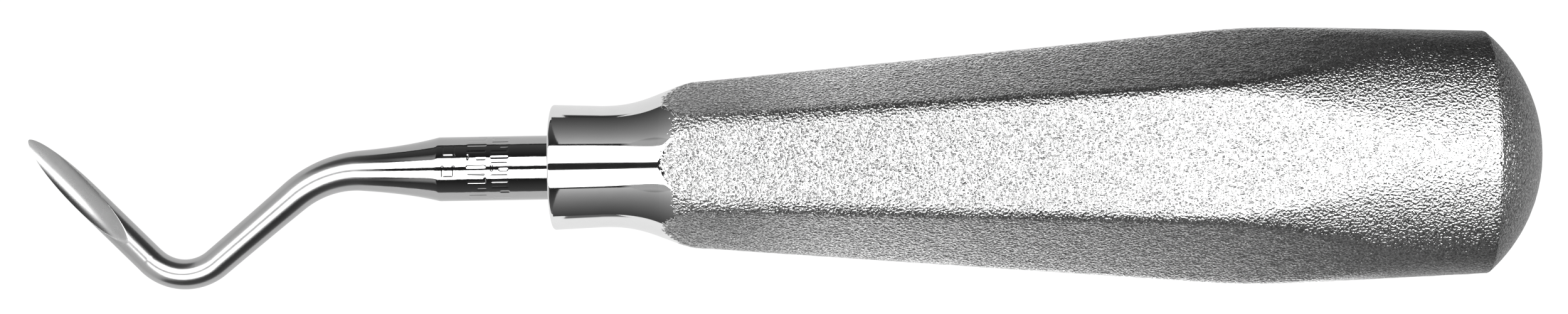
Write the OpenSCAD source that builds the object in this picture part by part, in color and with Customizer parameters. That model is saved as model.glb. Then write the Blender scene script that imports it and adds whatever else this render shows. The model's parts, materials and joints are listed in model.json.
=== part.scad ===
// Bent dental elevator: a forged working end held in a hollow six-sided steel handle.
// The handle's axis is first laid along +X, from the collar's front face at x = 0 to the domed butt,
// with the shank's bends in the XY plane and the hollow of the blade opening towards +Z.
// The whole instrument is then laid down on the flat of its grip that faces the table.

/* [Grip] */
// Largest diameter, over the rounded corners at the belly
grip_d = 25.25; // [25:0.05:25.6]
// Distance from the collar's front face to the edge of the butt
grip_l = 91.7; // [90:0.1:94]
// Distance from the collar's front face to the thickest part
belly_x = 70.2; // [69:0.1:71]
// Radius of the long curve over the belly
belly_r = 75; // [60:1:85]
// Slope of the rounded corners in front of the belly, in degrees
fore_slope = 4.75; // [4.7:0.01:4.8]
// Slope of the rounded corners behind the belly, in degrees
back_slope = 2.18; // [1.8:0.02:2.4]
// Width across two opposite flats at the belly
flats_w = 22.66; // [22.6:0.02:22.8]
// Slope of each flat, in degrees
flat_slope = 3.94; // [3.9:0.01:4]
// Height of the domed butt
dome_h = 5.45; // [4.5:0.05:6.5]
// Thickness of the grip's wall at the middle of a flat
wall = 1.65; // [1.4:0.05:1.8]

/* [Collar] */
// Diameter at the waist
waist_d = 12; // [11.8:0.1:12.2]
// Distance from the front face to the waist
waist_x = 5; // [4:0.1:6]
// How far the front edge stands out over the waist
lip = 0.2; // [0:0.05:0.4]
// Rounding of the front edge
lip_round = 0.5; // [0.2:0.05:0.8]
// Distance from the front face to the end of the flare
flare_x = 15.2; // [15:0.1:15.4]
// Length that shows in front of the grip
collar_l = 11; // [10.5:0.1:11]
// Diameter of the spigot inside the grip
spigot_d = 11.5; // [11.2:0.1:11.6]
// Length of the spigot inside the grip
spigot_l = 12.5; // [11:0.5:14]

/* [Shank] */
// Diameter of the plain ferrule and of the tang behind it
ferrule_d = 6.35; // [6.2:0.05:6.5]
// Length of ferrule in front of the collar
ferrule_l = 11.3; // [10.5:0.1:12]
// Length of the tang inside the collar
tang_l = 20; // [19:0.5:21]
// Diameter of the thin part
shank_d = 2.94; // [2.8:0.02:3.1]
// Length over which the taper loses most of its extra radius
taper_l = 6.8; // [6:0.1:7.5]
// Distance from the collar's front face to the first bend
first_bend_x = 19.04; // [18.8:0.02:19.6]
// Angle of the first bend, down from the axis
first_bend = 39.4; // [36:0.2:42]
// Radius of the first bend
first_bend_r = 10.8; // [9:0.1:12]
// Straight length between the bends
arm_l = 10.18; // [9:0.02:11]
// Angle of the second bend, back up towards the axis
second_bend = 84; // [78:0.5:88]
// Radius of the second bend
second_bend_r = 4.95; // [4.5:0.05:6]

/* [Blade] */
// Length from the second bend to the tip
blade_l = 17.45; // [16:0.05:19]
// Length of the tapering point
point_l = 9.5; // [8.5:0.1:10]
// Radius of the hollow
hollow_r = 1.9; // [1.85:0.05:2.1]
// How far the hollow's middle lies towards the outside of the bend
hollow_side = 0.3; // [0:0.05:0.35]
// Distance from the second bend to the start of the hollow
hollow_x = 2.8; // [2:0.1:4]
// Length over which the hollow gains most of its depth
hollow_run = 4.7; // [4:0.1:5.5]
// Depth of the hollow at the tip, measured from the shank's surface
hollow_d = 2.12; // [1.9:0.02:2.2]
// Thickness left at the tip
tip_t = 0.1; // [0.08:0.01:0.2]

/* [Joints] */
// Diameter of the cross pin through spigot and tang
pin_d = 2; // [1.6:0.1:2.4]
// Distance from the collar's front face to the cross pin
pin_x = 17; // [16:0.1:18]
// Leg of each filler ring's three-cornered section
filler = 0.4; // [0.3:0.05:0.5]
// Length of the cap's spigot inside the grip
cap_spigot_l = 6; // [5:0.5:8]
// Wall of the cap's spigot
cap_wall = 1.6; // [1.2:0.1:2]

/* [Hidden] */
$fn = 96;

grip_r = grip_d / 2;
shank_r = shank_d / 2;
ferrule_r = ferrule_d / 2;
spigot_r = spigot_d / 2;
waist_r = waist_d / 2;

// Ends of the curve over the belly, where the two straight tapers touch it
fore_x = belly_x - belly_r * sin(fore_slope);
fore_r = grip_r - belly_r * (1 - cos(fore_slope));
back_x = belly_x + belly_r * sin(back_slope);
back_r = grip_r - belly_r * (1 - cos(back_slope));
butt_r = back_r - tan(back_slope) * (grip_l - back_x);
flare_r = fore_r - tan(fore_slope) * (fore_x - flare_x);

// Distance of a flat's middle from the axis
flat_front = flats_w / 2 - tan(flat_slope) * belly_x;
function flat_at(x) = flat_front + tan(flat_slope) * x;

// Radius of the collar and its flare, and of the turned grip behind it
flare_power = 1.25;
function flare_at(x) =
    x < waist_x
        ? waist_r + lip * (1 - x / waist_x)
        : waist_r + (flare_r - waist_r)
            * (1 - cos(180 * pow((x - waist_x) / (flare_x - waist_x), flare_power))) / 2;
belly_steps = 8;
belly_points = [for (i = [0 : belly_steps])
    let (a = -fore_slope + i * (fore_slope + back_slope) / belly_steps)
    [grip_r - belly_r * (1 - cos(a)), belly_x + belly_r * sin(a)]];

// The dome is one sphere's cap
dome_r = (pow(butt_r, 2) + pow(dome_h, 2)) / (2 * dome_h);

// Inside of the grip: a bore for the collar's spigot, a taper, and a bore for the cap's spigot
cap_spigot_r = 10.25;
spigot_end = collar_l + spigot_l;
bore_end = spigot_end + 0.5;
taper_from = bore_end + 1;
taper_to = 78;
clear = 1;

// Shank centreline. g is how far its heading points down from -X.
blade_rise = second_bend - first_bend;
bend_1 = [-first_bend_x, 0];
function on_first_bend(g) = bend_1 + first_bend_r * [-sin(g), cos(g) - 1];
arm_start = on_first_bend(first_bend);
arm_end = arm_start - arm_l * [cos(first_bend), sin(first_bend)];
function on_second_bend(g) =
    arm_end + second_bend_r * [sin(g) - sin(first_bend), cos(first_bend) - cos(g)];
blade_start = on_second_bend(-blade_rise);
function on_blade(s) = blade_start + s * [-cos(blade_rise), sin(blade_rise)];
tip = on_blade(blade_l);

// Length of centreline from the end of the ferrule
lead_l = first_bend_x - ferrule_l;
first_bend_l = first_bend_r * first_bend * PI / 180;
second_bend_l = second_bend_r * second_bend * PI / 180;
function taper_at(s) = shank_r + (ferrule_r - shank_r) * exp(-s / taper_l);
shoulder_l = 7.2; // length of taper that is turned with the ferrule
shoulder_step = 0.6;

// Blade, by the distance s from the second bend and the distance y from its middle. Its hollow is
// a round channel, of radius hollow_r, that starts at the shank's surface and deepens to the tip.
point_start = blade_l - point_l;
last_point = 0.004; // share of the point's length that stays blunt
point_fullness = 2.6; // how late the point's outline starts to narrow
point_bluntness = 0.625; // how steeply the outline closes at the tip
run_softness = 1.3; // how gently the hollow starts
function to_tip(s) = min(1, (blade_l - s) / point_l);
function half_width(s) =
    shank_r * pow(1 - pow(1 - to_tip(s), point_fullness), point_bluntness);
function hollow_floor(s) =
    shank_r - hollow_d * (1 - exp(-pow((s - hollow_x) / hollow_run, run_softness)));
function hollow_at(s, y) =
    s <= hollow_x ? shank_r
    : hollow_floor(s) + hollow_r - sqrt(pow(hollow_r, 2) - pow(y - hollow_side, 2));
tip_floor = hollow_floor(blade_l);
function back_depth(s) =
    let (thin = tip_t - tip_floor) thin + (shank_r - thin) * sin(90 * to_tip(s));

// Each ring is [centre, g, half width, depth of the back, s along the blade or -1]
function round_ring(p, g, s) = let (r = taper_at(s)) [p, g, r, r, -1];
function blade_ring(s) = [on_blade(s), -blade_rise, half_width(s), back_depth(s), s];
ring_sides = 24;
bend_1_steps = 8;
bend_2_steps = 14;
run_out_l = point_start - hollow_x + 0.1;
run_out_steps = 12;
point_steps = 14;
join_r = taper_at(shoulder_l) - 0.02; // the bent part starts just inside the turned part's end
rings = concat(
    [[[-ferrule_l - shoulder_l, 0], 0, join_r, join_r, -1]],
    [for (i = [0 : bend_1_steps])
        let (g = first_bend * i / bend_1_steps)
        round_ring(on_first_bend(g), g, lead_l + first_bend_l * i / bend_1_steps)],
    [for (i = [0 : bend_2_steps])
        let (g = first_bend - second_bend * i / bend_2_steps,
             s = lead_l + first_bend_l + arm_l + second_bend_l * i / bend_2_steps)
        round_ring(on_second_bend(g), g, s)],
    [for (i = [0 : run_out_steps - 1])
        blade_ring(point_start - run_out_l * (1 - i / run_out_steps))],
    [for (i = [0 : point_steps])
        let (t = pow(1 - i / point_steps, 2) * (1 - last_point) + last_point)
        blade_ring(blade_l - point_l * t)]);
function edge_z(ring, a) =
    let (outer = min(0, hollow_at(ring[4], ring[2])),
         inner = min(0, hollow_at(ring[4], -ring[2])))
    (outer * (1 + cos(a)) + inner * (1 - cos(a))) / 2;
function ring_z(ring, a) =
    ring[4] < 0 ? ring[3] * sin(a)
    : sin(a) < 0 ? edge_z(ring, a) + (ring[3] + edge_z(ring, a)) * sin(a)
    : min(ring[2] * sin(a), hollow_at(ring[4], ring[2] * cos(a)));
function ring_points(ring) =
    [for (j = [0 : ring_sides - 1])
        let (a = 360 * j / ring_sides,
             y = ring[2] * cos(a))
        [ring[0][0] + y * sin(ring[1]), ring[0][1] - y * cos(ring[1]), ring_z(ring, a)]];

// How the instrument lies: on one flat, with the middle of its length at x = 0
lift = flat_front * cos(flat_slope);
dome_x = (grip_l + dome_h - dome_r) * cos(flat_slope) + dome_r;
tip_x = tip[0] * cos(flat_slope) - (tip_floor - tip_t) * sin(flat_slope);
middle_x = (dome_x + tip_x) / 2;

module lie_down() {
    translate([-middle_x, 0, lift]) rotate([0, -flat_slope, 0]) children();
}

// Turns a solid of revolution from +Z to +X
module along_x() {
    rotate([0, 90, 0]) children();
}

module rod(x, d, l) {
    translate([x, 0, 0]) along_x() cylinder(d = d, h = l);
}

module pin_bore() {
    translate([pin_x, 0, 0]) cylinder(d = pin_d, h = 2 * grip_r, center = true);
}

// Ring of filler metal in the corner between a bore of radius r and a face at x, on the side dir
module filler_ring(r, x, dir) {
    along_x() rotate_extrude()
        polygon([[r, x], [r + filler, x], [r, x + dir * filler]]);
}

module bent_shank() {
    count = len(rings);
    points = [for (ring = rings) each ring_points(ring)];
    sides = [for (i = [0 : count - 2], j = [0 : ring_sides - 1])
        let (k = (j + 1) % ring_sides, a = i * ring_sides, b = a + ring_sides)
        [a + j, b + j, b + k, a + k]];
    first = [for (j = [0 : ring_sides - 1]) j];
    last = [for (j = [ring_sides - 1 : -1 : 0]) (count - 1) * ring_sides + j];
    polyhedron(points, concat([first, last], sides), convexity = 6);
}

// One forging: tang, ferrule, double-bent shank and hollowed blade
module working_end() {
    shoulder = [for (s = [0 : shoulder_step : shoulder_l]) [taper_at(s), -ferrule_l - s]];
    color("silver") lie_down() {
        difference() {
            along_x() rotate_extrude() polygon(concat(
                [[0, tang_l], [ferrule_r - 0.5, tang_l], [ferrule_r, tang_l - 0.5]],
                shoulder,
                [[0, -ferrule_l - shoulder_l]]));
            pin_bore();
        }
        bent_shank();
    }
}

// Turned and polished nose of the handle, with a spigot behind it that the grip slides onto
module collar() {
    round_points = [for (a = [0 : 15 : 90])
        [flare_at(lip_round) - lip_round * (1 - sin(a)), lip_round * (1 - cos(a))]];
    side_points = [for (x = [1 : 0.5 : collar_l]) [flare_at(x), x]];
    color("gainsboro") lie_down() difference() {
        along_x() rotate_extrude() polygon(concat(
            [[0, 0]], round_points, side_points,
            [[spigot_r, collar_l], [spigot_r, spigot_end - 0.5],
             [spigot_r - 0.5, spigot_end], [0, spigot_end]]));
        rod(-clear, ferrule_d, clear + tang_l + 0.5);
        filler_ring(ferrule_r, 0, 1);
        pin_bore();
    }
}

// Everything that lies outside the six flats
module flat_cuts() {
    for (k = [0 : 5])
        rotate([0, 0, 60 * k]) translate([flat_front, 0, 0]) rotate([0, flat_slope, 0])
            translate([0, -grip_r, 0]) cube([grip_r, 2 * grip_r, grip_l + grip_r]);
}

// Hollow grip: a turned tapering tube with six flats that run out behind the belly
module grip_shell() {
    flare_points = [for (x = [collar_l : 0.6 : flare_x - 0.3]) [flare_at(x), x]];
    color("darkgray") lie_down() difference() {
        along_x() difference() {
            rotate_extrude() polygon(concat(
                [[spigot_r, collar_l]], flare_points, [[flare_r, flare_x]], belly_points,
                [[butt_r, grip_l], [cap_spigot_r, grip_l], [cap_spigot_r, taper_to],
                 [flat_at(taper_from) - wall, taper_from], [spigot_r, bore_end]]));
            flat_cuts();
        }
        filler_ring(spigot_r, collar_l, 1);
        filler_ring(cap_spigot_r, grip_l, -1);
    }
}

// Domed cap that closes the butt, with a hollow spigot inside the grip
module butt_cap() {
    color("darkgray") lie_down() difference() {
        union() {
            intersection() {
                translate([grip_l + dome_h - dome_r, 0, 0]) along_x() sphere(r = dome_r);
                rod(grip_l, 2 * grip_r, dome_h + clear);
            }
            rod(grip_l - cap_spigot_l, 2 * cap_spigot_r, cap_spigot_l + dome_h / 4);
        }
        rod(grip_l - cap_spigot_l - clear, 2 * (cap_spigot_r - cap_wall), cap_spigot_l + clear);
    }
}

// Cross pin that locks the tang in the spigot. The grip covers both of its ends.
module tang_pin() {
    color("gray") lie_down()
        translate([pin_x, 0, 0]) cylinder(d = pin_d, h = spigot_d - 0.3, center = true);
}

module mouth_braze() {
    color("lightgray") lie_down() filler_ring(ferrule_r, 0, 1);
}

module collar_braze() {
    color("lightgray") lie_down() filler_ring(spigot_r, collar_l, 1);
}

module cap_weld() {
    color("lightgray") lie_down() filler_ring(cap_spigot_r, grip_l, -1);
}

working_end();
collar();
grip_shell();
butt_cap();
tang_pin();
mouth_braze();
collar_braze();
cap_weld();
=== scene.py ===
"""Looks of a bent dental elevator, built around its packed solids.

Lengths are millimetres until a mesh is made. Points are first laid out on the handle's own axes: x
along the axis from the collar's front face to the butt, y away from the side that the shank bends
to, z out of the side that the hollow of the blade faces. The handle is then laid down on one flat.
"""

import json
import math

import bpy
import numpy as np
from bpy.props import FloatProperty, FloatVectorProperty, PointerProperty
from mathutils import Matrix, Vector

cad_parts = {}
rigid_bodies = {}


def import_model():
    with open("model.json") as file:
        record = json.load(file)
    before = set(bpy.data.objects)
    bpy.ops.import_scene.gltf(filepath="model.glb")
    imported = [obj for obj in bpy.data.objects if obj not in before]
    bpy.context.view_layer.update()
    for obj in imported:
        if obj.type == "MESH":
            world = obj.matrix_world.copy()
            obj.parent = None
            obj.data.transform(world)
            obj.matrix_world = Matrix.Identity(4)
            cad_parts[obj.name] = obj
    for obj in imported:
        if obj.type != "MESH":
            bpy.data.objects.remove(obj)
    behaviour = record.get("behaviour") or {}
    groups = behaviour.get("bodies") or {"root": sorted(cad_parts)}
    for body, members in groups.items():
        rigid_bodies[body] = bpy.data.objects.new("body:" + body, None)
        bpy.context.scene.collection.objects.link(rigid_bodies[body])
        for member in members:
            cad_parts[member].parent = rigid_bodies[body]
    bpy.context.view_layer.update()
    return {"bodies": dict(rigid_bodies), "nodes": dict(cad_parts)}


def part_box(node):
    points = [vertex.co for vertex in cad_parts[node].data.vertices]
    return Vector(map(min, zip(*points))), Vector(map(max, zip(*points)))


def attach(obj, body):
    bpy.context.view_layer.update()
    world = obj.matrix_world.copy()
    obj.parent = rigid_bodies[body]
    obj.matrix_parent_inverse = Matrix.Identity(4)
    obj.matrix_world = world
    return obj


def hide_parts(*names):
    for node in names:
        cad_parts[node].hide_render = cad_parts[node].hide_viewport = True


bl_info = {
    "name": "Dental Elevator",
    "version": (1, 0, 0),
    "blender": (4, 5, 0),
    "location": "3D View > Sidebar > Elevator",
    "description": "Builds a bent dental elevator with a polished collar and a blasted six-sided grip",
    "category": "Add Mesh",
}

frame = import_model()

MM = 0.001
ROOT = next(iter(frame["bodies"]))

# Hidden inside of the handle, in millimetres
FILLER = 0.4  # leg of a filler ring's three-cornered section
GRIP_WALL = 1.65
BORE_GAP = 0.5  # behind the tang and behind the collar's spigot
CAP_BORE_X = 78.0  # from the collar's front face to the start of the bore for the cap
CAP_SPIGOT_R = 10.25
CAP_SPIGOT_BORE_R = 8.65
CAP_SPIGOT_L = 6.0

# Powers of the curves that no setting changes
FLARE_POWER = 1.25
POINT_FULLNESS = 2.6
POINT_BLUNTNESS = 0.625
RUN_SOFTNESS = 1.3

FERRULE_DULLNESS = 0.06


def length(name, description, millimetres):
    """A length that the user can change, kept in metres."""
    return FloatProperty(name=name, description=description, default=millimetres * MM,
                         min=0.0, unit="LENGTH", precision=5)


def angle(name, description, degrees):
    return FloatProperty(name=name, description=description, default=math.radians(degrees),
                         subtype="ANGLE")


def share(name, description, value):
    return FloatProperty(name=name, description=description, default=value, min=0.0, max=1.0,
                         subtype="FACTOR")


def colour(name, description, red, green, blue):
    return FloatVectorProperty(name=name, description=description, size=3, min=0.0, max=1.0,
                               subtype="COLOR", default=(red, green, blue))


# ---------------------------------------------------------------- sizes and colours


class GripSettings(bpy.types.PropertyGroup):
    """The blasted six-sided grip and the domed cap that closes it."""

    largest_d: length("Largest diameter", "Over the rounded corners at the belly", 25.25)
    grip_l: length("Length", "From the collar's front face to the edge of the butt", 91.7)
    belly_x: length("Belly", "From the collar's front face to the thickest part", 70.2)
    belly_r: length("Belly curve", "Radius of the long curve over the belly", 75)
    fore_slope: angle("Fore slope", "Slope of the corners in front of the belly", 4.75)
    back_slope: angle("Back slope", "Slope of the corners behind the belly", 2.18)
    flats_w: length("Across flats", "Width across two flats at the belly", 22.66)
    flat_slope: angle("Flat slope", "Slope of each flat, and of the handle as it lies", 3.94)
    dome_h: length("Dome height", "Height of the domed butt over its edge", 5.45)
    edge_round: length("Edge rounding", "Softness of the edges between the flats", 0.22)
    grain: length("Grain", "Distance from one blasted pit to the next", 0.23)
    grain_depth: length("Grain depth", "Depth of the blasted pits", 0.21)
    steel: colour("Steel", "Colour of the blasted steel", 0.76, 0.76, 0.76)
    dullness: share("Dullness", "Roughness of the blasted steel", 0.24)


class CollarSettings(bpy.types.PropertyGroup):
    """The polished nose of the handle."""

    waist_d: length("Waist diameter", "Diameter of the collar at its waist", 12)
    waist_x: length("Waist", "From the front face to the waist", 5)
    lip: length("Lip", "How far the front edge stands out over the waist", 0.2)
    lip_round: length("Lip rounding", "Rounding of the front edge", 0.25)
    flare_x: length("Flare", "From the front face to the end of the flare", 15.2)
    collar_l: length("Visible length", "Length in front of the grip", 11)
    polish_x: length("Polished length", "From the front face to where the polish stops", 12.3)
    spigot_d: length("Spigot diameter", "Diameter of the spigot inside the grip", 11.5)
    spigot_l: length("Spigot length", "Length of the spigot inside the grip", 12.5)
    steel: colour("Steel", "Colour of the polished collar", 0.9, 0.9, 0.9)
    dullness: share("Dullness", "Roughness of the polished collar", 0.05)


class ShankSettings(bpy.types.PropertyGroup):
    """The working end: tang, ferrule, double-bent shank and blade."""

    ferrule_d: length("Ferrule diameter", "Diameter of the ferrule and the tang", 6.35)
    ferrule_l: length("Ferrule length", "Length of ferrule in front of the collar", 11.3)
    tang_l: length("Tang length", "Length of the tang inside the collar", 20)
    shank_d: length("Shank diameter", "Diameter of the thin part", 2.94)
    taper_l: length("Taper", "Length over which the taper loses most of its radius", 6.8)
    bend_x: length("First bend", "From the collar's front face to the first bend", 19.04)
    bend_1: angle("First bend", "Turn of the first bend, away from the axis", 39.4)
    bend_1_r: length("First bend radius", "Radius of the first bend", 10.8)
    arm_l: length("Arm", "Straight length between the bends", 10.18)
    bend_2: angle("Second bend", "Turn of the second bend, back to the axis", 84)
    bend_2_r: length("Second bend radius", "Radius of the second bend", 4.95)
    blade_l: length("Blade", "Length from the second bend to the tip", 17.45)
    point_l: length("Point", "Length of the tapering point", 9.5)
    hollow_r: length("Hollow radius", "Radius of the blade's hollow", 1.9)
    hollow_side: length("Hollow offset", "From the blade's middle to the hollow's", 0.3)
    hollow_x: length("Hollow start", "From the second bend to the start of the hollow", 2.8)
    hollow_run: length("Hollow run", "Length over which the hollow gains most depth", 4.7)
    hollow_d: length("Hollow depth", "Depth of the hollow at the tip", 2.12)
    tip_t: length("Tip", "Thickness left at the tip", 0.1)
    mark_w: length("Mark width", "Width of each stamped stroke", 0.13)
    mark_depth: length("Mark depth", "Depth of each stamped stroke", 0.035)
    steel: colour("Steel", "Colour of the polished shank", 0.49, 0.49, 0.49)
    dullness: share("Dullness", "Roughness of the polished shank", 0.23)


class StageSettings(bpy.types.PropertyGroup):
    """Floor, light and camera."""

    field: angle("Field of view", "Across the picture's width", 24.14)
    distance: length("Distance", "From the camera to the handle's axis", 362.8)
    aim_x: length("Aim", "Point of the axis under the picture's middle", 22.94)
    aim_y: length("Aim offset", "How far the picture's middle lies above the axis", 0.65)
    roll: angle("Roll", "How far the butt rises in the picture", 0.96)
    pitch: angle("Pitch", "How far the butt comes towards the camera", 2.81)
    turn: angle("Turn", "Turn of the camera about the handle's axis", 1.4)
    light: FloatProperty(name="Light", description="Brightness of the overhead soft boxes",
                         default=3.9, min=0.0)
    floor_size: length("Floor", "Side of the square floor", 8000)


SETTINGS = {"elevator_grip": GripSettings, "elevator_collar": CollarSettings,
            "elevator_shank": ShankSettings, "elevator_stage": StageSettings}


def sizes(group):
    """The group's lengths in millimetres, its angles in radians and its colours, as attributes."""
    values = {}
    for key, prop in group.bl_rna.properties.items():
        if prop.type == "FLOAT" and prop.is_array:
            values[key] = tuple(getattr(group, key))
        elif prop.type == "FLOAT":
            scale = 1 / MM if prop.unit == "LENGTH" else 1
            values[key] = getattr(group, key) * scale
    return type("Sizes", (), values)


def all_sizes(scene):
    return tuple(sizes(getattr(scene, name)) for name in SETTINGS)


# ---------------------------------------------------------------- shader trees

A_COLOUR, B_COLOUR, MIXED_COLOUR = 6, 7, 2


class Wire:
    """A socket of a shader tree. Sums, products and powers of wires and numbers add Math nodes."""

    def __init__(self, tree, socket=None):
        self.tree = tree
        self.socket = socket

    def node(self, kind, settings=None, sockets=None, output=0):
        """Adds a node with its settings, then the values or links of its sockets."""
        made = self.tree.nodes.new("ShaderNode" + kind)
        for name, value in (settings or {}).items():
            if name == "stops":
                stops = made.color_ramp.elements
                while len(stops) < len(value):
                    stops.new(1.0)
                for stop, (at, level) in zip(stops, value):
                    stop.position, stop.color = at, (level, level, level, 1.0)
            else:
                setattr(made, name, value)
        for name, value in (sockets or {}).items():
            if isinstance(value, Wire):
                self.tree.links.new(value.socket, made.inputs[name])
            else:
                made.inputs[name].default_value = value
        return Wire(self.tree, made.outputs[output]) if made.outputs else None

    def math(self, operation, *values, clamp=False):
        settings = {"operation": operation, "use_clamp": clamp}
        return self.node("Math", settings, dict(enumerate(values)))

    def __add__(self, other):
        return self.math("ADD", self, other)

    def __sub__(self, other):
        return self.math("SUBTRACT", self, other)

    def __rsub__(self, other):
        return self.math("SUBTRACT", other, self)

    def __mul__(self, other):
        return self.math("MULTIPLY", self, other)

    def __truediv__(self, other):
        return self.math("DIVIDE", self, other)

    def __rtruediv__(self, other):
        return self.math("DIVIDE", other, self)

    def __pow__(self, other):
        return self.math("POWER", self, other)

    def __abs__(self):
        return self.math("ABSOLUTE", self)

    __radd__ = __add__
    __rmul__ = __mul__

    def between(self, low, high):
        """0 below low, 1 above high, and a straight rise between them."""
        return self.math("MULTIPLY", self - low, 1 / (high - low), clamp=True)

    def blend(self, first, second):
        """A colour that goes from first to second as this wire goes from 0 to 1."""
        colours = {0: self, A_COLOUR: first, B_COLOUR: second}
        return self.node("Mix", {"data_type": "RGBA"}, colours, MIXED_COLOUR)

    def noise(self, pitch, detail=2.0, roughness=0.5):
        """Noise on this vector, whose features are about pitch millimetres wide."""
        sockets = {"Vector": self, "Scale": 1 / (pitch * MM), "Detail": detail,
                   "Roughness": roughness}
        return self.node("TexNoise", None, sockets)

    def stretched(self, x, y, z):
        """This vector with its axes scaled, which draws a pattern out along the small ones."""
        return self.node("VectorMath", {"operation": "MULTIPLY"}, {0: self, 1: (x, y, z)})

    def parts(self):
        """The x, y and z of this vector."""
        return [self.node("SeparateXYZ", None, {0: self}, i) for i in range(3)]


def rgba(value, scale=1.0):
    return (*(min(1.0, c * scale) for c in value), 1.0)


def steel(name, depth, look):
    """A metal. look gives its colour, its roughness and its height, in depths, at a place."""
    material = bpy.data.materials.new(name)
    material.use_nodes = True
    tree = material.node_tree
    tree.nodes.clear()
    place = Wire(tree).node("TexCoord", None, None, "Object")
    tint, rough, height = look(place)
    normal = place.node("Bump", None, {"Strength": 1.0, "Distance": depth * MM, "Height": height})
    shader = place.node("BsdfPrincipled", None, {
        "Metallic": 1.0,
        "Base Color": tint,
        "Roughness": rough,
        "Normal": normal,
    })
    place.node("OutputMaterial", None, {"Surface": shader})
    return material


def grit(place, grip):
    """Colour, roughness and height of steel blasted with coarse grit, in clumps of pits. Its colour is
    darker in the pits: painted shade for their self-shadowing.
    """
    pits = place.noise(grip.grain, 1.5, 0.45)
    clumps = place.noise(grip.grain * 2.6, 2.0)
    patches = place.noise(9, 2.0)
    bright = (pits + clumps * 0.2 + patches * 0.1 - 0.15).between(0.34, 0.66)
    # The steel drops to 0.42 of its colour in the pits. This is painted shade, not a darker metal.
    tint = bright.blend(rgba(grip.steel, 0.42), rgba(grip.steel))
    rough = grip.dullness + (patches - 0.5) * 0.08 + (0.5 - pits) * 0.12
    return tint, rough, pits + clumps * 0.16


def blasted_steel(grip):
    # The cap's blasted steel, with the same painted shade in its pits.
    return steel("blasted_steel", grip.grain_depth, lambda place: grit(place, grip))


def skin_steel(grip, collar):
    """The grip's outside: blasted, with painted shade in its pits, but for the end of the flare, which
    is turned and polished.
    """

    def look(place):
        tint, rough, height = grit(place, grip)
        skin = place.node("Attribute", {"attribute_name": "polished"}, None, "Fac")
        ragged = (place.noise(grip.grain * 1.5, 1.0) - 0.5) * 0.6
        bright = (skin + ragged + 0.08).between(-0.02, 0.05)
        blasted = 1 - bright
        return (bright.blend(tint, rgba(collar.steel)), rough * blasted + bright * collar.dullness,
                height * blasted + bright * 0.75)

    return steel("grip_steel", grip.grain_depth, look)


def mirror_steel(collar):
    """Lathe-turned steel under a mirror polish, with faint rings and wiping marks."""

    def look(place):
        rings = place.stretched(1.0, 0.02, 0.02).noise(0.12, 2.0)
        haze = place.noise(2.6, 3.0, 0.6)
        tint = haze.between(0.25, 0.7).blend(rgba(collar.steel, 0.95), rgba(collar.steel))
        return tint, collar.dullness + (haze - 0.5) * 0.03, rings * 0.6 + haze * 0.4

    return steel("mirror_steel", 0.001, look)


def polished_steel(shank, ferrule_end):
    """Forged steel: a bright ferrule, a satin shank, and a blade with a darker brushed finish."""

    def look(place):
        drawn = place.stretched(0.12, 1.0, 1.0).noise(0.16, 3.0, 0.6)
        haze = place.noise(3.2, 3.0, 0.6)
        along = place.parts()[0]
        satin = 1 - along.between((ferrule_end - 8.5) * MM, (ferrule_end - 4.5) * MM)
        tint = haze.between(0.25, 0.75).blend(rgba(shank.steel, 0.93), rgba(shank.steel))
        blade = 1 - along.between(-66 * MM, -62 * MM)
        brushed = place.stretched(0.5, 0.5, 1.0).noise(0.5, 3.0, 0.65)
        tint = (blade * brushed.between(0.2, 0.8)).blend(tint, rgba(shank.steel, 0.84))
        rough = satin * (shank.dullness - FERRULE_DULLNESS) + FERRULE_DULLNESS
        rough = rough + (haze - 0.5) * 0.05 + blade * brushed * 0.1
        return tint, rough, drawn * 0.7 + haze * 0.5

    return steel("polished_steel", 0.003, look)


def plain_steel(name, base, dullness, pitch):
    """Ground steel, or dressed filler metal, for the pieces at the joints."""

    def look(place):
        marks = place.noise(pitch, 3.0, 0.6)
        tint = marks.between(0.2, 0.8).blend(rgba(base, 0.85), rgba(base))
        return tint, dullness + (marks - 0.5) * 0.15, marks

    return steel(name, 0.01, look)


# ---------------------------------------------------------------- mesh code


def lay_down(points, grip):
    """Takes points from the handle's axes to the frame: the handle lies on one of its flats."""
    cos, sin = math.cos(grip.flat_slope), math.sin(grip.flat_slope)
    lift = (grip.flats_w / 2 - math.tan(grip.flat_slope) * grip.belly_x) * cos
    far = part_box("grip_shell")[1].x / MM
    middle = grip.grip_l * cos + butt_radius(grip) * sin - far
    x, y, z = points[..., 0], points[..., 1], points[..., 2]
    return np.stack([x * cos - z * sin - middle, y, x * sin + z * cos + lift], axis=-1)


def closed_skin(name, rings, grip, material, hollow=False, attributes=None):
    """A closed mesh over rings of points. A hollow one joins its last ring to its first."""
    count, around = rings.shape[:2]
    points = lay_down(rings.reshape(-1, 3), grip) * MM
    ring, spoke = np.meshgrid(np.arange(count if hollow else count - 1), np.arange(around),
                              indexing="ij")
    after, beside = (ring + 1) % count, (spoke + 1) % around
    quads = np.stack([ring * around + spoke, ring * around + beside,
                      after * around + beside, after * around + spoke], axis=-1).reshape(-1, 4)
    faces = quads.tolist()
    if not hollow:
        faces.append(list(range(around - 1, -1, -1)))
        faces.append(list(range((count - 1) * around, count * around)))
    mesh = bpy.data.meshes.new(name)
    mesh.from_pydata(points, [], faces)
    mesh.polygons.foreach_set("use_smooth", [True] * len(faces))
    for key, values in (attributes or {}).items():
        mesh.attributes.new(key, "FLOAT", "POINT").data.foreach_set("value", values.ravel())
    mesh.set_sharp_from_angle(angle=math.radians(40))
    mesh.materials.append(material)
    mesh.update()
    piece = bpy.data.objects.new(name, mesh)
    bpy.context.collection.objects.link(piece)
    return piece


def place_piece(piece, node):
    """The piece rides with the instrument and stands for one of its solids."""
    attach(piece, ROOT)
    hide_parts(node)


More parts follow.
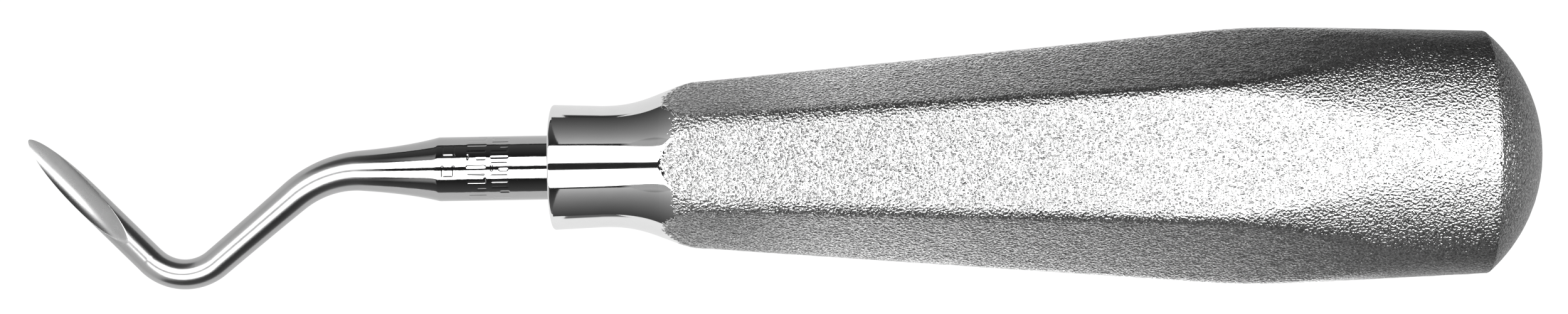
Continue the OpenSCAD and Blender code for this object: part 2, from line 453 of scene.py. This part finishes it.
def turned(profile, around):
    """Rings of a turned shape from its (x, radius) profile."""
    profile = np.asarray(profile, float)
    a = np.linspace(0, 2 * math.pi, around, endpoint=False)
    x = np.repeat(profile[:, :1], around, axis=1)
    radius = profile[:, 1:2]
    return np.stack([x, radius * np.cos(a), radius * np.sin(a)], axis=-1)


def broken_edges(corners, radius, steps=3):
    """A closed profile with each corner rounded and held by a point on either side."""
    corners = np.asarray(corners, float)
    points = []
    for before, here, after in zip(np.roll(corners, 1, 0), corners, np.roll(corners, -1, 0)):
        into, out = here - before, after - here
        reach = min(radius, np.linalg.norm(into) / 4, np.linalg.norm(out) / 4)
        into, out = into / np.linalg.norm(into), out / np.linalg.norm(out)
        start, end = here - into * reach, here + out * reach
        points.append(start - into * reach * 0.6)
        for t in np.linspace(0, 1, steps + 1):
            points.append((1 - t) ** 2 * start + 2 * t * (1 - t) * here + t**2 * end)
        points.append(end + out * reach * 0.6)
    return np.array(points)


def soft_min(a, b, width):
    """The smaller of a and b, with the corner between them rounded over about width."""
    return (a + b - np.sqrt((a - b) ** 2 + width**2)) / 2


def value_noise(shape, seed):
    """Gentle random unevenness, the same each run, smoothed over its neighbours."""
    noise = np.random.default_rng(seed).normal(size=shape)
    for axis in (0, 1):
        noise = (np.roll(noise, 1, axis) + 2 * noise + np.roll(noise, -1, axis)) / 4
    return noise / noise.std()


# ---------------------------------------------------------------- handle


def corner_radius(x, grip):
    """Radius of the turned grip before its flats are cut: two tapers and the belly's curve."""
    fore_x = grip.belly_x - grip.belly_r * math.sin(grip.fore_slope)
    back_x = grip.belly_x + grip.belly_r * math.sin(grip.back_slope)
    held = np.clip(x, fore_x, back_x)
    curve = grip.belly_r - np.sqrt(grip.belly_r**2 - (held - grip.belly_x) ** 2)
    straight = (np.maximum(0, fore_x - x) * math.tan(grip.fore_slope)
                + np.maximum(0, x - back_x) * math.tan(grip.back_slope))
    return grip.largest_d / 2 - curve - straight


def butt_radius(grip):
    return float(corner_radius(grip.grip_l, grip))


def flare_radius(x, grip, collar):
    """Radius of the collar: a slightly raised lip, the waist, and the flare to the grip."""
    waist = collar.waist_d / 2
    full = float(corner_radius(collar.flare_x, grip))
    lip = collar.lip * np.maximum(0, 1 - x / collar.waist_x)
    t = np.clip((x - collar.waist_x) / (collar.flare_x - collar.waist_x), 0, 1)
    return waist + lip + (full - waist) * (1 - np.cos(math.pi * t**FLARE_POWER)) / 2


def flat_distance(x, grip):
    """Distance of a flat's middle from the axis."""
    return grip.flats_w / 2 + math.tan(grip.flat_slope) * (x - grip.belly_x)


def make_collar(grip, collar, shank):
    """The turned nose, with the bore for the tang and the spigot inside the grip."""
    bore, end = shank.ferrule_d / 2, collar.collar_l + collar.spigot_l
    blind_x, vent_r = shank.tang_l + BORE_GAP, 0.6
    lip_r = float(flare_radius(collar.lip_round, grip, collar))
    turns = np.linspace(0, math.pi / 2, 8)
    lip = np.stack([collar.lip_round * (1 - np.cos(turns)),
                    lip_r - collar.lip_round * (1 - np.sin(turns))], axis=-1)
    side_x = np.arange(collar.lip_round + 0.1, collar.collar_l, 0.2)
    side = np.stack([side_x, flare_radius(side_x, grip, collar)], axis=-1)
    seam = [(collar.collar_l, float(flare_radius(collar.collar_l, grip, collar)))]
    inside = broken_edges([
        *seam,
        (collar.collar_l, collar.spigot_d / 2),
        (end, collar.spigot_d / 2),
        (end, vent_r),
        (blind_x, vent_r),
        (blind_x, bore),
        (FILLER, bore),
        (0, bore + FILLER),
    ], 0.03)
    front = [(0, bore + FILLER + 0.02), (0, lip_r - collar.lip_round - 0.05)]
    # The seam stays sharp, so its corner is left out, and the front face starts inside the last
    points_per_corner = 6
    profile = np.concatenate([front, lip, side, seam, inside[points_per_corner:-2]])
    rings = turned(profile, 256)
    piece = closed_skin("polished_collar", rings, grip, mirror_steel(collar), hollow=True)
    place_piece(piece, "collar")


def make_grip(grip, collar):
    """The hollow grip: six flats cut on a turned taper, and a blasted skin."""
    around = 360
    fine_step, coarse_step = 0.14, 0.38
    front = np.arange(collar.collar_l, collar.flare_x + 1, fine_step)
    rest = np.arange(front[-1] + 0.3, grip.grip_l - 0.12, coarse_step)
    x = np.concatenate([front, rest, [grip.grip_l - 0.1, grip.grip_l - 0.04, grip.grip_l]])
    a = np.linspace(0, 2 * math.pi, around, endpoint=False)
    x_grid, a_grid = np.meshgrid(x, a, indexing="ij")
    turned_r = np.where(x_grid < collar.flare_x, flare_radius(x_grid, grip, collar),
                        corner_radius(x_grid, grip))
    sixth = math.pi / 3
    from_middle = (a_grid - math.pi / 2 + sixth / 2) % sixth - sixth / 2
    flat_r = flat_distance(x_grid, grip) / np.cos(from_middle)
    soft = np.where(x_grid < collar.flare_x - 1, 0.02, grip.edge_round)
    radius = soft_min(turned_r, flat_r, soft)
    polished = np.minimum(flat_r - turned_r, (collar.polish_x - x_grid) * 0.4)
    uneven = value_noise(radius.shape, 4)
    blasted = np.clip(-polished / 0.1, 0, 1)
    radius = radius + 0.006 * uneven * blasted
    # The rim at the butt is broken a little
    radius[-1] -= 0.08
    radius[-2] -= 0.02
    outside = np.stack([x_grid, radius * np.cos(a_grid), radius * np.sin(a_grid)], axis=-1)
    bore = collar.spigot_d / 2
    spigot_end = collar.collar_l + collar.spigot_l + BORE_GAP
    cone_x = spigot_end + 1
    inside = turned([
        (grip.grip_l, CAP_SPIGOT_R + FILLER),
        (grip.grip_l - FILLER, CAP_SPIGOT_R),
        (CAP_BORE_X, CAP_SPIGOT_R),
        (cone_x, float(flat_distance(cone_x, grip)) - GRIP_WALL),
        (spigot_end, bore),
        (collar.collar_l + FILLER, bore),
        (collar.collar_l, bore + FILLER),
    ], around)
    rings = np.concatenate([outside, inside])
    marks = np.concatenate([polished, np.full(inside.shape[:2], -1.0)])
    piece = closed_skin("blasted_grip", rings, grip, skin_steel(grip, collar), hollow=True,
                        attributes={"polished": marks})
    place_piece(piece, "grip_shell")


def make_cap(grip):
    """The domed butt, with its hollow spigot."""
    around = 300
    butt = butt_radius(grip)
    sphere_r = (butt**2 + grip.dome_h**2) / (2 * grip.dome_h)
    centre = grip.grip_l + grip.dome_h - sphere_r
    edge = math.asin((butt - 0.06) / sphere_r)
    turns = np.linspace(0.002, edge, 70)
    dome = np.stack([centre + sphere_r * np.cos(turns), sphere_r * np.sin(turns)], axis=-1)
    spigot_end, chamfer = grip.grip_l - CAP_SPIGOT_L, 0.3
    under = [
        (grip.grip_l + 0.01, butt - 0.05),
        (grip.grip_l, butt - 0.1),
        (grip.grip_l, CAP_SPIGOT_R),
        (spigot_end + chamfer, CAP_SPIGOT_R),
        (spigot_end, CAP_SPIGOT_R - chamfer),
        (spigot_end, CAP_SPIGOT_BORE_R),
        (grip.grip_l, CAP_SPIGOT_BORE_R),
        (grip.grip_l, 0.03),
    ]
    rings = turned(np.concatenate([dome, under]), around)
    # Only the dome is uneven: neither its middle nor its edge
    uneven = value_noise(rings.shape[:2], 9)
    held = np.zeros(rings.shape[:2])
    held[12:68] = 1
    rings[..., 0] += 0.005 * uneven * held
    piece = closed_skin("domed_cap", rings[::-1], grip, blasted_steel(grip))
    place_piece(piece, "butt_cap")


# ---------------------------------------------------------------- working end


def stamped_depth(x, arc, shank):
    """Depth of the stamped strokes on the ferrule, at x and at the distance arc round it.

    They are plain bars: two at the end of the ferrule, then two rings of uprights and crossbars.
    """
    strokes = []
    for place in (-0.9, 1.3):
        strokes.append((-10.1, place, 1.3, 0))
        strokes.append((-9.55, place + 0.5, 0, 1.0))
        strokes.append((-10.65, place + 0.5, 0, 1.0))
    for row, step, count, size in ((-7.3, 0.8, 11, 1.7), (-5.0, 0.62, 13, 1.5)):
        for i in range(count):
            place = -3.9 + step * i
            cut = size * (0.45 if i % 4 == 2 else 1.0)
            strokes.append((row + (size - cut) / 2, place, cut, 0))
            if i % 3 == 0:
                end = size / 2 if i % 2 else -size / 2
                strokes.append((row + end, place + step / 4, 0, step / 2))
    depth = np.zeros_like(x)
    for at_x, at_arc, long, wide in strokes:
        beside = np.abs(arc - at_arc) - wide / 2
        along = np.abs(x - at_x) - long / 2
        outside = np.maximum(beside, along) / (shank.mark_w / 2)
        depth = np.maximum(depth, np.clip(1.6 - outside, 0, 1))
    return depth * shank.mark_depth


def taper_radius(s, shank):
    """Radius at the distance s from the end of the ferrule."""
    thin = shank.shank_d / 2
    return thin + (shank.ferrule_d / 2 - thin) * np.exp(-s / shank.taper_l)


def shank_path(shank):
    """Rings' centres, headings and distances from the end of the ferrule, up to the blade."""
    lead = shank.bend_x - shank.ferrule_l
    places = [((-shank.ferrule_l - s, 0.0), 0.0, s) for s in np.arange(0.1, lead, 0.25)]
    start = np.array([-shank.bend_x, 0.0])

    def first(g):
        return start + shank.bend_1_r * np.array([-math.sin(g), math.cos(g) - 1])

    arm = first(shank.bend_1)
    heading = np.array([-math.cos(shank.bend_1), -math.sin(shank.bend_1)])
    corner = arm + shank.arm_l * heading

    def second(g):
        turn = [math.sin(g) - math.sin(shank.bend_1), math.cos(shank.bend_1) - math.cos(g)]
        return corner + shank.bend_2_r * np.array(turn)

    for g in np.linspace(0, shank.bend_1, 30):
        places.append((first(g), g, lead + shank.bend_1_r * g))
    so_far = lead + shank.bend_1_r * shank.bend_1
    for s in np.linspace(0, shank.arm_l, 30)[1:-1]:
        places.append((arm + s * heading, shank.bend_1, so_far + s))
    so_far += shank.arm_l
    for g in np.linspace(shank.bend_1, shank.bend_1 - shank.bend_2, 48):
        s = so_far + shank.bend_2_r * (shank.bend_1 - g)
        places.append((second(g), g, s))
    return places


def hollow_floor(s, shank):
    """Height of the hollow's deepest line at s. The hollow starts at the shank's surface."""
    run = max(0.0, s - shank.hollow_x) / shank.hollow_run
    return shank.shank_d / 2 - shank.hollow_d * (1 - math.exp(-(run**RUN_SOFTNESS)))


def blade_section(s, a, shank):
    """Sideways and upward places of the blade's skin at s, for the angles a round it."""
    thin = shank.shank_d / 2
    t = min(1.0, max(0.0, (shank.blade_l - s) / shank.point_l))
    half_w = thin * (1 - (1 - t) ** POINT_FULLNESS) ** POINT_BLUNTNESS

    def hollow(side):
        if s <= shank.hollow_x:
            return np.full_like(side, thin + 1)
        across = side - shank.hollow_side
        return hollow_floor(s, shank) + shank.hollow_r - np.sqrt(shank.hollow_r**2 - across**2)

    cos, sin = np.cos(a), np.sin(a)
    outer, inner = min(0.0, float(hollow(half_w))), min(0.0, float(hollow(-half_w)))
    edge = (outer * (1 + cos) + inner * (1 - cos)) / 2
    floor = hollow_floor(shank.blade_l, shank)
    back = (shank.tip_t - floor) + (thin - shank.tip_t + floor) * math.sin(math.pi / 2 * t)
    above = soft_min(half_w * sin, hollow(half_w * cos), 0.05 * np.maximum(sin, 0))
    return half_w * cos, np.where(sin < 0, edge + (back + edge) * sin, above)


def ring_across(centre, g, side, up):
    """A ring at centre, across a heading that has turned by g from the axis."""
    return np.stack([centre[0] + side * math.sin(g), centre[1] - side * math.cos(g), up], axis=-1)


def make_working_end(grip, shank):
    """One forging: tang, stamped ferrule, double-bent shank and hollowed blade."""
    around = 240
    a = np.linspace(0, 2 * math.pi, around, endpoint=False)
    ferrule_r, tang = shank.ferrule_d / 2, shank.tang_l
    rings = []
    plain = [
        (tang, ferrule_r - 0.5),
        (tang - 0.05, ferrule_r - 0.45),
        (tang - 0.45, ferrule_r - 0.05),
        (tang - 0.5, ferrule_r),
        (tang - 0.7, ferrule_r),
        (0.5, ferrule_r),
        (-0.5, ferrule_r),
    ]
    stamped = [(x, ferrule_r) for x in np.arange(-3.9, -10.95, -0.07)]
    end = [(-shank.ferrule_l + 0.15, ferrule_r), (-shank.ferrule_l + 0.02, ferrule_r - 0.003)]
    # a runs from the side the shank bends to, over the top; the strokes are placed from the top
    from_top = (math.pi / 2 - a + math.pi) % (2 * math.pi) - math.pi
    for x, radius in plain + stamped + end:
        x = np.full(around, x)
        r = radius - stamped_depth(x, -from_top * ferrule_r, shank)
        rings.append(np.stack([x, -r * np.cos(a), r * np.sin(a)], axis=-1))
    for centre, g, s in shank_path(shank):
        r = taper_radius(s, shank)
        rings.append(ring_across(centre, g, r * np.cos(a), r * np.sin(a)))
    start, g = centre, shank.bend_1 - shank.bend_2
    body = np.linspace(0.12, shank.blade_l - shank.point_l, 60)
    point = shank.blade_l - shank.point_l * (np.linspace(1, 0.055, 90)[1:] ** 2)
    for s in np.concatenate([body, point]):
        side, up = blade_section(s, a, shank)
        centre = start + s * np.array([-math.cos(g), -math.sin(g)])
        rings.append(ring_across(centre, g, side, up))
    ferrule_end = lay_down(np.array([-shank.ferrule_l, 0, 0]), grip)[0]
    metal = polished_steel(shank, ferrule_end)
    piece = closed_skin("forged_working_end", np.array(rings)[::-1], grip, metal)
    place_piece(piece, "working_end")


# ---------------------------------------------------------------- stage


def make_world(stage):
    """A dark room with a white soft box overhead, slit along its middle, and a plain background.

    Beside the box, towards the blade, is a grey patch for the collar's flare to reflect.
    """
    scene = bpy.context.scene
    world = scene.world or bpy.data.worlds.new("studio")
    scene.world = world
    world.use_nodes = True
    tree = world.node_tree
    tree.nodes.clear()
    x, y, z = Wire(tree).node("TexCoord", None, None, "Generated").parts()
    degrees = 180 / math.pi
    across = x.math("ARCTAN2", abs(y), z) * degrees
    along = x.math("ARCTAN2", x, z) * degrees
    levels = [(0, 0.0), (6.4, 0.0), (7.2, 1.0), (38, 1.0), (39.2, 0.0), (180, 0.0)]
    stops = [(at / 180, level) for at, level in levels]
    box = across.node("ValToRGB", {"stops": stops}, {"Fac": across / 180})
    box = box * along.between(-74, -70) * (1 - along.between(4, 9))
    room = across.between(44, 100) * 0.1 + 0.02
    patch = across.between(38.5, 39.5) * (1 - across.between(50, 62))
    patch = patch * (1 - along.between(-42, -30)) * 0.36
    level = box * stage.light + (room + patch)
    seen = x.node("LightPath", None, None, "Is Camera Ray")
    level = level * (1 - seen) + seen * 0.95
    background = x.node("Background", None, {"Color": level, "Strength": 1.0})
    x.node("OutputWorld", None, {"Surface": background})


def make_card(name, low, high, glow):
    """A lit card that the camera doesn't see. glow gives its brightness at a place."""
    low, high = Vector(low) * MM, Vector(high) * MM
    thin = min(range(3), key=lambda i: high[i] - low[i])
    i, j = [k for k in range(3) if k != thin]
    corners = []
    for at in ((low[i], low[j]), (high[i], low[j]), (high[i], high[j]), (low[i], high[j])):
        corner = low.copy()
        corner[i], corner[j] = at
        corners.append(corner)
    mesh = bpy.data.meshes.new(name)
    mesh.from_pydata(corners, [], [(0, 1, 2, 3)])
    card = bpy.data.objects.new(name, mesh)
    bpy.context.collection.objects.link(card)
    material = bpy.data.materials.new(name)
    material.use_nodes = True
    tree = material.node_tree
    tree.nodes.clear()
    place = Wire(tree).node("TexCoord", None, None, "Object")
    light = place.node("Emission", None, {"Color": glow(place), "Strength": 1.0})
    place.node("OutputMaterial", None, {"Surface": light})
    mesh.materials.append(material)
    card.visible_camera = False
    card.visible_shadow = False


def make_cards():
    """Grey cards before the blade and beside the collar, and a soft box over the butt."""

    def plain(level):
        return lambda place: (level, level, level, 1)

    def graded(place):
        return place.parts()[2].between(7 * MM, 22.5 * MM) ** 1.6 * 0.46 + 0.04

    make_card("blade_card", (-95, -60, 0.5), (-95, 60, 60), plain(0.66))
    make_card("left_card", (-22.5, 11.4, 8.6), (-4, 11.4, 22.4), graded)
    make_card("right_card", (-22.5, -11.4, 8.6), (-4, -11.4, 22.4), graded)
    make_card("butt_box", (72, -50, 90), (140, 50, 90), plain(6))


def make_floor(stage):
    """A plain white floor.

    The metal reflects it as a dim floor with a lit strip, narrow under the grip and wide before the
    blade, and a brighter ridge of light on either side of the grip.
    """
    half = stage.floor_size * MM / 2
    mesh = bpy.data.meshes.new("floor")
    corners = [(-half, -half, 0), (half, -half, 0), (half, half, 0), (-half, half, 0)]
    mesh.from_pydata(corners, [], [(0, 1, 2, 3)])
    floor = bpy.data.objects.new("floor", mesh)
    bpy.context.collection.objects.link(floor)
    material = bpy.data.materials.new("white_floor")
    material.use_nodes = True
    tree = material.node_tree
    tree.nodes.clear()
    x, y, _ = Wire(tree).node("TexCoord", None, None, "Object").parts()
    aside = abs(y)
    blade_side = 1 - x.between(-24 * MM, -22 * MM)
    grip_side = x.between(-6 * MM, 6 * MM)
    behind = x.between(68 * MM, 74 * MM)
    reach = blade_side * (54 * MM) - grip_side * (8 * MM)
    strip_level = 0.74 - grip_side * 0.34 - behind * 0.06
    strip = (1 - (aside - reach).between(27 * MM, 31 * MM)) * strip_level
    beside = grip_side * (1 - behind) * (1 - aside.between(55 * MM, 75 * MM))
    ridge = aside.between(14 * MM, 15 * MM) * (1 - aside.between(21 * MM, 22 * MM)) * beside
    ridge = ridge * (1 - x.between(54 * MM, 62 * MM))
    dimmer = 1 - y.between(-10 * MM, 10 * MM) * x.between(0, 50 * MM) * 0.45
    far = 0.03 + (1 - y.between(-20 * MM, 20 * MM)) * 0.1
    far = far + beside * dimmer * 0.08 + ridge * dimmer * 1.5
    dull = x.node("Emission", None, {"Color": strip + far, "Strength": 1.0})
    lit = x.node("BsdfDiffuse", None, {"Color": (0.06, 0.06, 0.06, 1)})
    glow = x.node("Emission", None, {"Color": (1, 1, 1, 1), "Strength": 0.99})
    white = x.node("AddShader", None, {0: lit, 1: glow})
    seen = x.node("LightPath", None, None, "Is Camera Ray")
    mixed = x.node("MixShader", None, {0: seen, 1: dull, 2: white})
    x.node("OutputMaterial", None, {"Surface": mixed})
    mesh.materials.append(material)


def make_camera(grip, stage):
    """Looks down at the instrument from the side that its blade's hollow faces."""
    data = bpy.data.cameras.new("camera")
    data.sensor_width = 36
    data.lens = data.sensor_width / 2 / math.tan(stage.field / 2)
    data.clip_start, data.clip_end = 0.01, 20
    camera = bpy.data.objects.new("camera", data)
    bpy.context.collection.objects.link(camera)
    origin = Vector(lay_down(np.zeros(3), grip)) * MM
    lying = Matrix.Translation(origin) @ Matrix.Rotation(-grip.flat_slope, 4, "Y")
    camera.matrix_world = (
        lying
        @ Matrix.Translation((stage.aim_x * MM, 0, 0))
        @ Matrix.Rotation(stage.turn, 4, "X")
        @ Matrix.Rotation(stage.pitch, 4, "Y")
        @ Matrix.Rotation(-stage.roll, 4, "Z")
        @ Matrix.Translation((0, stage.aim_y * MM, stage.distance * MM))
    )
    bpy.context.scene.camera = camera
    bpy.context.scene.view_settings.view_transform = "Standard"


# ---------------------------------------------------------------- operators


class ELEVATOR_OT_stage(bpy.types.Operator):
    """Makes the floor, the light and the camera"""

    bl_idname = "elevator.stage"
    bl_label = "Stage"

    def execute(self, context):
        grip, _, _, stage = all_sizes(context.scene)
        make_camera(grip, stage)
        make_world(stage)
        make_cards()
        make_floor(stage)
        return {"FINISHED"}


class ELEVATOR_OT_working_end(bpy.types.Operator):
    """Makes the forged working end"""

    bl_idname = "elevator.working_end"
    bl_label = "Working end"

    def execute(self, context):
        grip, _, shank, _ = all_sizes(context.scene)
        make_working_end(grip, shank)
        return {"FINISHED"}


class ELEVATOR_OT_collar(bpy.types.Operator):
    """Makes the polished collar"""

    bl_idname = "elevator.collar"
    bl_label = "Collar"

    def execute(self, context):
        grip, collar, shank, _ = all_sizes(context.scene)
        make_collar(grip, collar, shank)
        return {"FINISHED"}


class ELEVATOR_OT_handle(bpy.types.Operator):
    """Makes the blasted grip and its domed cap"""

    bl_idname = "elevator.handle"
    bl_label = "Grip and cap"

    def execute(self, context):
        grip, collar, _, _ = all_sizes(context.scene)
        make_grip(grip, collar)
        make_cap(grip)
        return {"FINISHED"}


class ELEVATOR_OT_joints(bpy.types.Operator):
    """Gives the pin and the filler rings their metals"""

    bl_idname = "elevator.joints"
    bl_label = "Pin and filler rings"

    def execute(self, context):
        ground = plain_steel("ground_steel", (0.55, 0.55, 0.56), 0.3, 0.3)
        filler = plain_steel("filler_metal", (0.75, 0.75, 0.73), 0.18, 0.5)
        for node, metal in (("tang_pin", ground), ("mouth_braze", filler),
                            ("collar_braze", filler), ("cap_weld", filler)):
            mesh = frame["nodes"][node].data
            mesh.materials.clear()
            mesh.materials.append(metal)
        return {"FINISHED"}


OPERATORS = (ELEVATOR_OT_stage, ELEVATOR_OT_working_end, ELEVATOR_OT_collar, ELEVATOR_OT_handle,
             ELEVATOR_OT_joints)


class ELEVATOR_PT_panel(bpy.types.Panel):
    """Lists the instrument's settings and the operators that build it"""

    bl_idname = "ELEVATOR_PT_panel"
    bl_label = "Dental Elevator"
    bl_space_type = "VIEW_3D"
    bl_region_type = "UI"
    bl_category = "Elevator"

    def draw(self, context):
        for operator in OPERATORS:
            self.layout.operator(operator.bl_idname)
        for name, kind in SETTINGS.items():
            box = self.layout.box()
            box.label(text=kind.__doc__)
            for key in kind.__annotations__:
                box.prop(getattr(context.scene, name), key)


CLASSES = (*SETTINGS.values(), *OPERATORS, ELEVATOR_PT_panel)


def register():
    for kind in CLASSES:
        bpy.utils.register_class(kind)
    for name, kind in SETTINGS.items():
        setattr(bpy.types.Scene, name, PointerProperty(type=kind))


def unregister():
    for name in SETTINGS:
        delattr(bpy.types.Scene, name)
    for kind in reversed(CLASSES):
        bpy.utils.unregister_class(kind)


def main():
    register()
    for operator in OPERATORS:
        group, name = operator.bl_idname.split(".")
        getattr(getattr(bpy.ops, group), name)()


if __name__ == "__main__":
    main()
